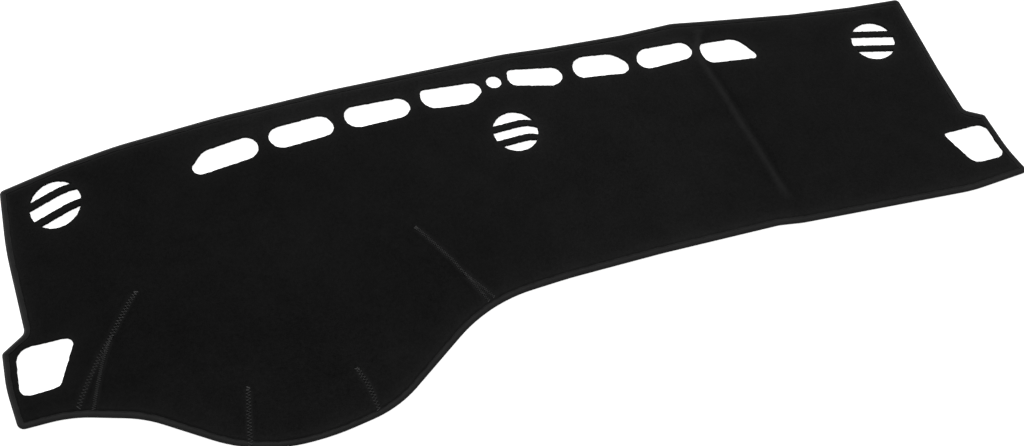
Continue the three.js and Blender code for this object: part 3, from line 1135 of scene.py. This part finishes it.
@dataclass
class EdgeTape:
    """The binding: one length of woven tape folded round the sheet's outer edge."""

    plan: MatPlan
    finish: WovenFinish
    width: float = 8.5
    thickness: float = 0.7
    edge_height: float = 4.1
    middle: float = 2.25
    crown: float = 0.25
    crown_inset: float = 4.2
    crown_reach: float = 1.6
    stitch_inset: float = 7.0
    stitch_sink: float = 0.4
    sink_reach: float = 0.75
    face_insets: tuple[float, ...] = (2.6, 3.4, 4.2, 5.0, 5.7, 6.3, 6.7, 7.0, 7.3, 7.8, 8.2)
    inner_insets: tuple[float, ...] = (8.0, 7.0, 6.2, 4.8, 3.4)
    nose_angles: tuple[float, ...] = (90.0, 70.0, 50.0, 30.0, 10.0)
    hollow_angles: tuple[float, ...] = (20.0, 55.0, 90.0)
    lip_round: float = 0.12
    lip_bulge: float = 0.08
    spacing: float = 3.0
    wobble: float = 0.35
    pucker: float = 0.14
    pucker_phase: float = 2.1
    floor_gap: float = 0.05
    sharp_angle: float = 60.0
    # Painted highlight on the tape's rim, and painted light and shade on its face, by which way the edge
    # faces.
    rim_highlight: float = 3.2
    rim_reach: float = 3.0
    rim_highlight_stops: tuple[Point, ...] = ((-1, 1.0), (-0.3, 0.6), (0.2, 0.28), (0.7, -0.04))
    face_light: float = 0.92
    face_light_turn: float = 0.14
    cycles: tuple[int, ...] = (83, 131, 197, 281)

    @property
    def radius(self) -> float:
        """Radius of the tape's round nose."""
        return self.edge_height / 2

    def face_height(self, inset: float) -> float:
        """Height of the upper face over the middle of the edge."""
        crowned = self.crown * bell(inset, self.crown_inset, self.crown_reach)
        return self.radius + crowned - self.stitch_sink * bell(inset, self.stitch_inset, self.sink_reach)

    def section(self) -> list[tuple[float, float, float]]:
        """The folded tape's section, from its nose over the top and back below.

        Returns:
            Inset, height over the edge's middle and flare share of each point.
        """
        upper = [(inset, self.face_height(inset), inset / self.width) for inset in self.face_insets]
        lip = self.face_height(self.face_insets[-1])
        end = [(self.width, lip - self.lip_round, 1.0),
               (self.width + self.lip_bulge, lip - self.thickness / 2, 1.0),
               (self.width, lip - self.thickness + self.lip_round, 1.0)]
        inner = [(inset, self.face_height(inset) - self.thickness, inset / self.width)
                 for inset in self.inner_insets]
        hollow_radius = self.radius - self.thickness
        hollow = [(self.radius - hollow_radius * math.sin(angle), hollow_radius * math.cos(angle), 0.0)
                  for angle in np.radians(self.hollow_angles)]
        nose = [(self.radius * (1 - math.sin(angle)), self.radius * math.cos(angle), 0.0)
                for angle in np.radians(self.nose_angles)]
        above = [*nose, *upper, *end, *inner, *hollow[:-1]]
        below = [(inset, -height, flare) for inset, height, flare in reversed(above[1:])]
        return [*above, hollow[-1], *below]

    def uneven(self, turns: np.ndarray, phase: float) -> np.ndarray:
        """Slight unevenness along the whole edge, as a sum of waves."""
        return sum(np.sin((turns + phase) * count) for count in self.cycles) / 2

    def painted_rim_light(self, lead: np.ndarray, section: list[tuple[float, float, float]]) -> np.ndarray:
        """Painted light on the tape: a painted highlight on its rim, strongest along the rear edge, and its
        face painted darker towards the rear.

        Args:
            lead: Points of the outer edge.
            section: The section's points.

        Returns:
            Share of its own colour that the tape shows at each point of its mesh.
        """
        # Painted highlight on the rim, strongest along the rear edge; the face painted darker towards the
        # rear.
        side = -outward_sides(lead)[:, 1]
        rim = 1 + self.rim_highlight * ramp(side, self.rim_highlight_stops)
        face = self.face_light + self.face_light_turn * side
        return np.concatenate([
            rim if inset < self.rim_reach and height > -1 else face for inset, height, _ in section])

    def build(self) -> bpy.types.Object:
        """Builds the tape.

        Returns:
            The tape's object.
        """
        section = self.section()
        loops = self.plan.edge_loops([inset for inset, _, _ in section], self.spacing)
        lead = loops[0]
        steps = np.hypot(*(np.roll(lead, -1, axis=0) - lead).T)
        travelled = np.cumsum(steps) - steps
        turns = 2 * math.pi * travelled / steps.sum()
        sway, lift = self.uneven(turns, 1.0), self.uneven(turns, self.pucker_phase)
        inward = loops[[inset for inset, _, _ in section].index(self.width)] - lead
        inward /= np.maximum(np.hypot(*inward.T), 1e-9)[:, None]
        narrowing = self.plan.tape_share(lead) - 1
        points, stations = [], len(lead)
        for loop, (inset, height, flare) in zip(loops, section):
            moved = loop + inward * (narrowing * inset * flare + self.wobble * sway * flare ** 3)[:, None]
            z = self.middle + height + math.copysign(self.pucker, height) * lift * flare
            points.append(np.column_stack([moved, np.maximum(z, self.floor_gap)]))
        faces = []
        for ring in range(len(section)):
            following = (ring + 1) % len(section)
            for station in range(stations):
                ahead = (station + 1) % stations
                faces.append([ring * stations + station, ring * stations + ahead,
                              following * stations + ahead, following * stations + station])
        mesh = mesh_from("binding_tape", np.vstack(points), faces, self.sharp_angle)
        self.lay_out(mesh, travelled, steps.sum(), section)
        mark_points(mesh, "tape_painted_light", self.painted_rim_light(lead, section))
        mesh.materials.append(self.finish.material())
        return new_piece(mesh, "binding_tape", "edge_binding")

    def lay_out(self, mesh: bpy.types.Mesh, travelled: np.ndarray, length: float,
                section: list[tuple[float, float, float]]) -> None:
        """Writes the tape's UV map: along the tape, and across it, in metres.

        Args:
            mesh: The tape's mesh.
            travelled: Way along the edge to each station, in millimetres.
            length: The edge's whole length.
            section: The section's points.
        """
        rows = np.array([(inset, height) for inset, height, _ in section])
        across = np.concatenate([[0], np.cumsum(np.hypot(*np.diff(rows, axis=0).T))])
        closing = across[-1] + np.hypot(*(rows[0] - rows[-1]))
        stations = len(travelled)
        layer = mesh.uv_layers.new(name="lay")
        values = []
        for face in mesh.polygons:
            ring, station = divmod(face.index, stations)
            near = across[ring]
            far = across[ring + 1] if ring + 1 < len(section) else closing
            start = travelled[station]
            stop = travelled[station + 1] if station + 1 < stations else length
            values += [start, near, stop, near, stop, far, start, far]
        layer.data.foreach_set("uv", (np.array(values) * MM).astype(np.float32))


class ThreadTree:
    """A Geometry Nodes tree that lays thread along wire paths."""

    def __init__(self, seam: Seam) -> None:
        """Builds the tree for one kind of seam."""
        self.tree = bpy.data.node_groups.new(seam.value, "GeometryNodeTree")
        self.graph = Graph(self.tree)
        face = self.tree.interface
        face.new_socket(name="Paths", in_out="INPUT", socket_type="NodeSocketGeometry")
        for name in ("Pitch", "Reach", "Thread Radius"):
            face.new_socket(name=name, in_out="INPUT", socket_type="NodeSocketFloat")
        face.new_socket(name="Seed", in_out="INPUT", socket_type="NodeSocketInt")
        face.new_socket(name="Finish", in_out="INPUT", socket_type="NodeSocketMaterial")
        face.new_socket(name="Thread", in_out="OUTPUT", socket_type="NodeSocketGeometry")
        self.given = self.graph.add("NodeGroupInput").outputs
        curve = self.graph.add("GeometryNodeMeshToCurve", {0: self.given["Paths"]}).outputs[0]
        thread = self.locked(curve) if seam is Seam.LOCK else self.zigzag(curve)
        smooth = self.graph.add("GeometryNodeSetShadeSmooth", {"Geometry": thread}).outputs[0]
        whole = self.graph.add("GeometryNodeRealizeInstances", {"Geometry": smooth}).outputs[0]
        dressed = self.graph.add(
            "GeometryNodeSetMaterial", {"Geometry": whole, "Material": self.given["Finish"]}).outputs[0]
        self.graph.add("NodeGroupOutput", {0: dressed})

    def random(self, low: float, high: float) -> bpy.types.NodeSocket:
        """A seeded random number for each stitch.

        Args:
            low: Its least value.
            high: Its greatest value.

        Returns:
            The number's socket.
        """
        node = self.graph.add("FunctionNodeRandomValue", data_type="FLOAT")
        node.inputs[2].default_value, node.inputs[3].default_value = low, high
        self.tree.links.new(self.given["Seed"], node.inputs["Seed"])
        return node.outputs[1]

    def locked(self, curve: bpy.types.NodeSocket) -> bpy.types.NodeSocket:
        """Separate slim stitches, end to end along the path.

        Args:
            curve: Socket of the path.

        Returns:
            Socket of the stitches.
        """
        graph, given = self.graph, self.given
        points = graph.add("GeometryNodeCurveToPoints", {0: curve, "Length": given["Pitch"]}, mode="LENGTH")
        bead = graph.add("GeometryNodeMeshUVSphere", {"Segments": 6, "Rings": 4, "Radius": 1.0}).outputs[0]
        half = graph.math("MULTIPLY", given["Reach"], 0.5)
        radius = given["Thread Radius"]
        size = graph.add("ShaderNodeCombineXYZ", {0: half, 1: radius, 2: radius})
        stitch = graph.add("GeometryNodeTransform", {"Geometry": bead, "Scale": size.outputs[0]}).outputs[0]
        turn = graph.add("FunctionNodeAlignRotationToVector", {"Vector": points.outputs["Tangent"]}, axis="X")
        sway = graph.add("ShaderNodeCombineXYZ", {2: self.random(-0.09, 0.09)}).outputs[0]
        swayed = graph.add(
            "FunctionNodeRotateRotation", {0: turn.outputs[0], 1: sway}, rotation_space="LOCAL").outputs[0]
        return graph.add("GeometryNodeInstanceOnPoints", {
            "Points": points.outputs[0], "Instance": stitch, "Rotation": swayed,
            "Scale": self.random(0.9, 1.08)}).outputs[0]

    def zigzag(self, curve: bpy.types.NodeSocket) -> bpy.types.NodeSocket:
        """One thread that crosses the path from side to side.

        Args:
            curve: Socket of the path.

        Returns:
            Socket of the thread.
        """
        graph, given = self.graph, self.given
        half = graph.math("MULTIPLY", given["Pitch"], 0.5)
        even = graph.add("GeometryNodeResampleCurve", {0: curve, "Length": half}, mode="LENGTH").outputs[0]
        tangent = graph.add("GeometryNodeInputTangent").outputs[0]
        side = graph.add("ShaderNodeVectorMath", {0: tangent, 1: (0, 0, 1)}, operation="CROSS_PRODUCT")
        parity = graph.math("MODULO", graph.add("GeometryNodeInputIndex").outputs[0], 2.0)
        hand = graph.math("MULTIPLY_ADD", parity, 2.0, -1.0)
        reach = graph.math("MULTIPLY", hand, graph.math("MULTIPLY", given["Reach"], 0.5))
        uneven = graph.math("MULTIPLY", reach, self.random(0.82, 1.1))
        offset = graph.add("ShaderNodeVectorMath", {0: side.outputs[0], "Scale": uneven}, operation="SCALE")
        moved = graph.add("GeometryNodeSetPosition", {"Geometry": even, "Offset": offset.outputs[0]})
        ring = graph.add("GeometryNodeCurvePrimitiveCircle", {
            "Resolution": 6, "Radius": given["Thread Radius"]})
        return graph.add("GeometryNodeCurveToMesh", {
            "Curve": moved.outputs[0], "Profile Curve": ring.outputs[0], "Fill Caps": True}).outputs[0]

    def grow(self, name: str, paths: Sequence[np.ndarray], closed: bool,
             sizes: dict[str, object]) -> bpy.types.Mesh:
        """Grows thread along paths.

        Args:
            name: The new mesh's name.
            paths: Points of each path, in millimetres.
            closed: Whether each path joins its own start.
            sizes: Values of the tree's inputs, by name.

        Returns:
            The thread as a plain mesh.
        """
        wire = bpy.data.meshes.new(name + "_path")
        edges, start = [], 0
        for path in paths:
            numbers = list(range(start, start + len(path)))
            edges += list(zip(numbers, numbers[1:] + (numbers[:1] if closed else [])))
            start += len(path)
        wire.from_pydata((np.vstack(paths) * MM).tolist(), edges, [])
        carrier = bpy.data.objects.new(name + "_path", wire)
        bpy.context.scene.collection.objects.link(carrier)
        modifier = carrier.modifiers.new("thread", "NODES")
        modifier.node_group = self.tree
        for item in self.tree.interface.items_tree:
            if item.item_type == "SOCKET" and item.in_out == "INPUT" and item.name in sizes:
                modifier[item.identifier] = sizes[item.name]
        graph = bpy.context.evaluated_depsgraph_get()
        mesh = bpy.data.meshes.new_from_object(carrier.evaluated_get(graph))
        carrier.modifiers.clear()
        bpy.data.objects.remove(carrier)
        bpy.data.meshes.remove(wire)
        return mesh


@dataclass
class Sewing:
    """The thread: a lock-stitched row through the binding, and zigzags along the darts."""

    plan: MatPlan
    form: SoftForm
    tape: EdgeTape
    row_finish: ThreadFinish
    dart_finish: ThreadFinish
    pitch: float = 3.6
    stitch_length: float = 2.9
    row_radius: float = 0.28
    dart_pitch: float = 4.3
    dart_reach: float = 5.6
    fine_pitch: float = 2.7
    fine_reach: float = 4.2
    dart_radius: float = 0.46
    knot_pitch: float = 2.0
    knot_length: float = 4.0
    seed: int = 7

    def sizes(self, pitch: float, reach: float, radius: float,
              finish: bpy.types.Material) -> dict[str, object]:
        """Inputs of a thread tree, in metres."""
        return {"Pitch": pitch * MM, "Reach": reach * MM, "Thread Radius": radius * MM,
                "Seed": self.seed, "Finish": finish}

    def build_rows(self) -> list[bpy.types.Object]:
        """Builds the binding's row of stitches on the upper and the lower face.

        Returns:
            The two rows.
        """
        tree = ThreadTree(Seam.LOCK)
        finish = self.row_finish.material()
        outer, inner = self.plan.edge_loops((0.0, self.tape.stitch_inset), self.pitch)
        flare = self.tape.stitch_inset / self.tape.width
        path = outer + (inner - outer) * (1 + (self.plan.tape_share(outer) - 1) * flare)[:, None]
        face = self.tape.face_height(self.tape.stitch_inset)
        rows = []
        for name, height in (("binding_stitches_top", face), ("binding_stitches_under", -face)):
            level = np.full((len(path), 1), self.tape.middle + height)
            sizes = self.sizes(self.pitch, self.stitch_length, self.row_radius, finish)
            mesh = tree.grow(name, [np.hstack([path, level])], True, sizes)
            rows.append(new_piece(mesh, name))
        return rows

    def laid(self, path: np.ndarray, reach: float) -> np.ndarray:
        """Lays a seam's path on the welts that its thread crosses.

        Args:
            path: The seam's plan points.
            reach: Width of the zigzag.

        Returns:
            The path's points with their heights.
        """
        sides = side_directions(path) * reach / 2
        edge = self.plan.edge_loops((0.0,), 6.0)[0]
        heights = [self.form.rise(path + shift, distance_to(path + shift, edge, closed=True))
                   for shift in (sides, -sides)]
        level = np.maximum(*heights) + self.form.thickness + self.dart_radius * 0.5
        return np.column_stack([path, level])

    def build_darts(self) -> list[bpy.types.Object]:
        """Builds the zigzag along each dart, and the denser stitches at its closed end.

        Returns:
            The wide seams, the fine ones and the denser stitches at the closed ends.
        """
        tree = ThreadTree(Seam.ZIGZAG)
        finish = self.dart_finish.material()
        laid = [self.laid(seam, self.dart_reach) for seam in self.form.seams]
        wide, fine = [laid[number] for number in (0, 2, 3)], [laid[number] for number in (1, 4, 5)]
        knot_points = int(self.knot_length / self.form.seam_spacing) + 1
        knots = [laid[number][:knot_points] for number in (0, 2, 3, 4)]
        pieces = []
        for name, paths, pitch, reach in (
                ("dart_seams", wide, self.dart_pitch, self.dart_reach),
                ("dart_seams_fine", fine, self.fine_pitch, self.fine_reach),
                ("dart_knots", knots, self.knot_pitch, self.fine_reach)):
            sizes = self.sizes(pitch, reach, self.dart_radius, finish)
            pieces.append(new_piece(tree.grow(name, paths, False, sizes), name))
        return pieces


@dataclass
class Studio:
    """The pale floor, the soft light and the camera that looks down on the mat."""

    camera_place: tuple[float, float, float] = (-0.5119, -0.8361, 1.5088)
    azimuth: float = -29.777
    elevation: float = 58.119
    roll: float = 12.578
    focal_pixels: float = 1340.58
    sensor: float = 36.0
    floor_reach: float = 12.0
    floor_glow: float = 0.75
    sky_level: float = 0.62
    lamp_size: float = 2.4
    lamp_power: float = 62.0
    lamp_place: tuple[float, float, float] = (-0.6, 2.2, 2.6)

    def build_camera(self) -> None:
        """Sets the camera that stands where the mat was seen from."""
        data = bpy.data.cameras.new("view")
        data.sensor_fit = "HORIZONTAL"
        data.sensor_width = self.sensor
        data.lens = self.focal_pixels / IMAGE_WIDTH * self.sensor
        data.clip_start, data.clip_end = 0.05, 60.0
        camera = bpy.data.objects.new("view", data)
        bpy.context.scene.collection.objects.link(camera)
        side, rise = math.radians(self.azimuth), math.radians(self.elevation)
        back = Vector((math.sin(side) * math.cos(rise), -math.cos(side) * math.cos(rise), math.sin(rise)))
        camera.location = self.camera_place
        camera.rotation_mode = "QUATERNION"
        turn = Quaternion((0, 0, 1), math.radians(self.roll))
        camera.rotation_quaternion = back.to_track_quat("Z", "Y") @ turn
        bpy.context.scene.camera = camera

    def seen(self, graph: Graph) -> bpy.types.NodeSocket:
        """Tells the rays that show the background.

        Args:
            graph: The graph that takes the nodes.

        Returns:
            1 for rays from the camera, a reflection or a clear body, and otherwise 0.
        """
        path = graph.add("ShaderNodeLightPath").outputs
        mirrored = graph.math("MAXIMUM", path["Is Glossy Ray"], path["Is Transmission Ray"])
        return graph.math("MAXIMUM", path["Is Camera Ray"], mirrored)

    def build_floor(self) -> None:
        """Lays the floor, which looks white but keeps the mat's shadow."""
        reach = self.floor_reach
        mesh = bpy.data.meshes.new("floor")
        corners = [(-reach, -reach, 0), (reach, -reach, 0), (reach, reach, 0), (-reach, reach, 0)]
        mesh.from_pydata(corners, [], [(0, 1, 2, 3)])
        floor = bpy.data.objects.new("floor", mesh)
        bpy.context.scene.collection.objects.link(floor)
        material, graph = new_material("white_floor")
        matt = graph.add("ShaderNodeBsdfDiffuse", {"Color": (0.8, 0.8, 0.8, 1)}).outputs[0]
        lift = graph.math("MULTIPLY", self.seen(graph), self.floor_glow)
        glow = graph.add("ShaderNodeEmission", {"Color": (1, 1, 1, 1), "Strength": lift}).outputs[0]
        both = graph.add("ShaderNodeAddShader", {0: matt, 1: glow}).outputs[0]
        graph.add("ShaderNodeOutputMaterial", {"Surface": both})
        mesh.materials.append(material)

    def build_light(self) -> None:
        """Sets an even sky and one broad soft lamp."""
        world = bpy.data.worlds.new("studio")
        bpy.context.scene.world = world
        world.use_nodes = True
        world.node_tree.nodes.clear()
        graph = Graph(world.node_tree)
        level = graph.math("MULTIPLY_ADD", self.seen(graph), 1 - self.sky_level, self.sky_level)
        sky = graph.add("ShaderNodeBackground", {"Color": (1, 1, 1, 1), "Strength": level}).outputs[0]
        graph.add("ShaderNodeOutputWorld", {"Surface": sky})
        data = bpy.data.lights.new("soft_lamp", "AREA")
        data.shape = "SQUARE"
        data.size = self.lamp_size
        data.energy = self.lamp_power
        lamp = bpy.data.objects.new("soft_lamp", data)
        bpy.context.scene.collection.objects.link(lamp)
        lamp.location = self.lamp_place
        lamp.rotation_mode = "QUATERNION"
        lamp.rotation_quaternion = (-Vector(self.lamp_place)).to_track_quat("-Z", "Y")

    def build(self) -> None:
        """Builds the whole studio."""
        self.build_camera()
        self.build_floor()
        self.build_light()
        bpy.context.scene.view_settings.view_transform = "Standard"


PILE = PileFinish("black_velour", dark=(0.0043,) * 3, light=(0.0157,) * 3)
BACKING = PileFinish(
    "felt_backing", dark=(0.010,) * 3, light=(0.030,) * 3, fibre_scale=420.0, bump_depth=0.0004)
TAPE = WovenFinish("woven_tape", dark=(0.0045,) * 3, light=(0.0170,) * 3)
ROW_THREAD = ThreadFinish("black_thread", dark=(0.006,) * 3, light=(0.016,) * 3)
DART_THREAD = ThreadFinish("grey_thread", dark=(0.038,) * 3, light=(0.086,) * 3)


def main() -> None:
    logging.basicConfig(level=logging.INFO, format="%(name)s %(message)s")
    plan = MatPlan()
    form = SoftForm(plan)
    sheet = CarpetSheet(plan, form, PilePaintedLight(), PILE, BACKING).build()
    tape = EdgeTape(plan, TAPE)
    binding = tape.build()
    sewing = Sewing(plan, form, tape, ROW_THREAD, DART_THREAD)
    threads = [*sewing.build_rows(), *sewing.build_darts()]
    Studio().build()


if __name__ == "__main__":
    main()
